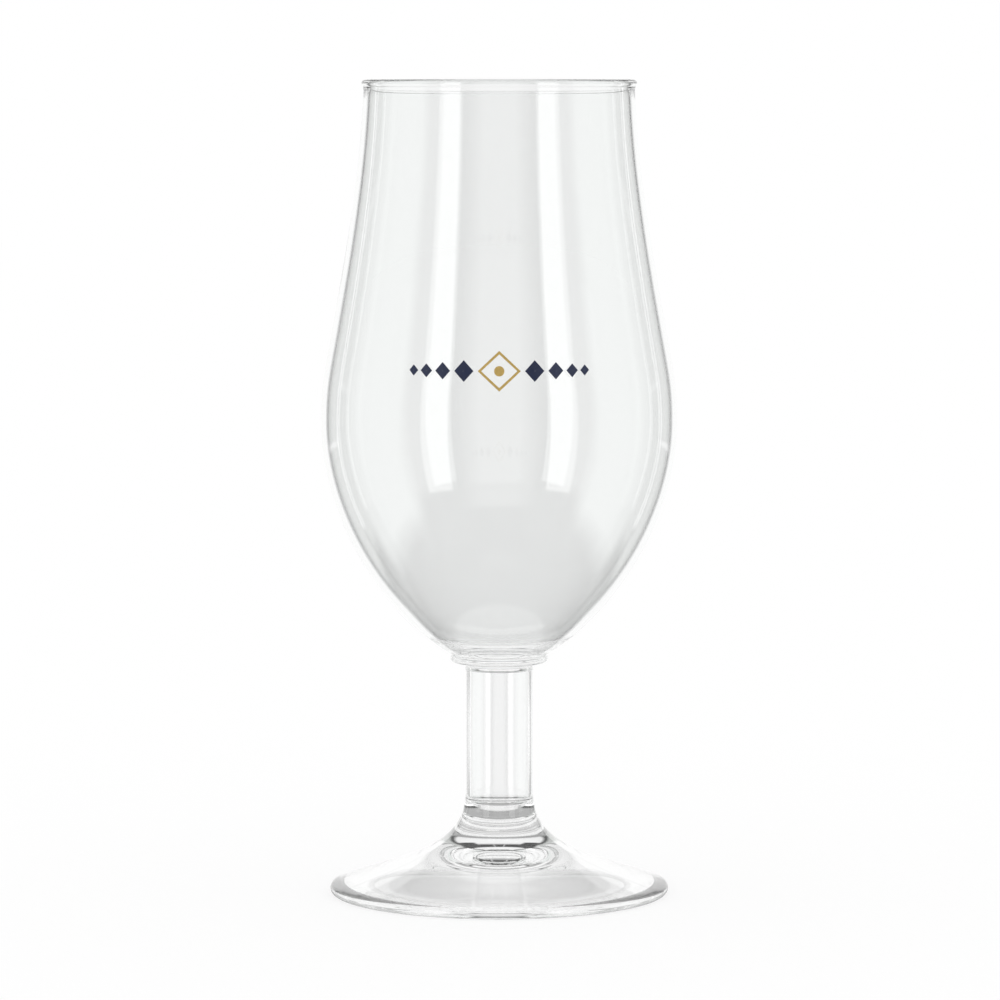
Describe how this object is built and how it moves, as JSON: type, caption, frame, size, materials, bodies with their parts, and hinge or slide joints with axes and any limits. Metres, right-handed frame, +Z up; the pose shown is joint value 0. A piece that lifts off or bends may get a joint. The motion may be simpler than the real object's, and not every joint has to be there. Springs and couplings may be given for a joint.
{
  "type": "stemmed beer glass",
  "caption": "Clear stemmed beer glass: a tulip bowl with a beaded lip, joined by a round-edged collar to a short hollow stem on a flared foot.",
  "frame": {"origin": "centre of the ring that the glass rests on, at the height of the table", "axes": "+Z up along the axis of the glass; the glass is a body of revolution, and the pictured side faces -Y"},
  "size_m": [0.0786, 0.0786, 0.18],
  "materials": {
    "bowl_glass": "clear, polished",
    "collar_glass": "clear, polished",
    "stem_glass": "clear, polished",
    "foot_glass": "clear, polished",
    "gold_print": "fired gold enamel ornament",
    "navy_print": "fired navy enamel ornament"
  },
  "bodies": {
    "root": {"bowl": "bowl_glass", "collar": "collar_glass", "stem": "stem_glass", "foot": "foot_glass"}
  },
  "joints": []
}
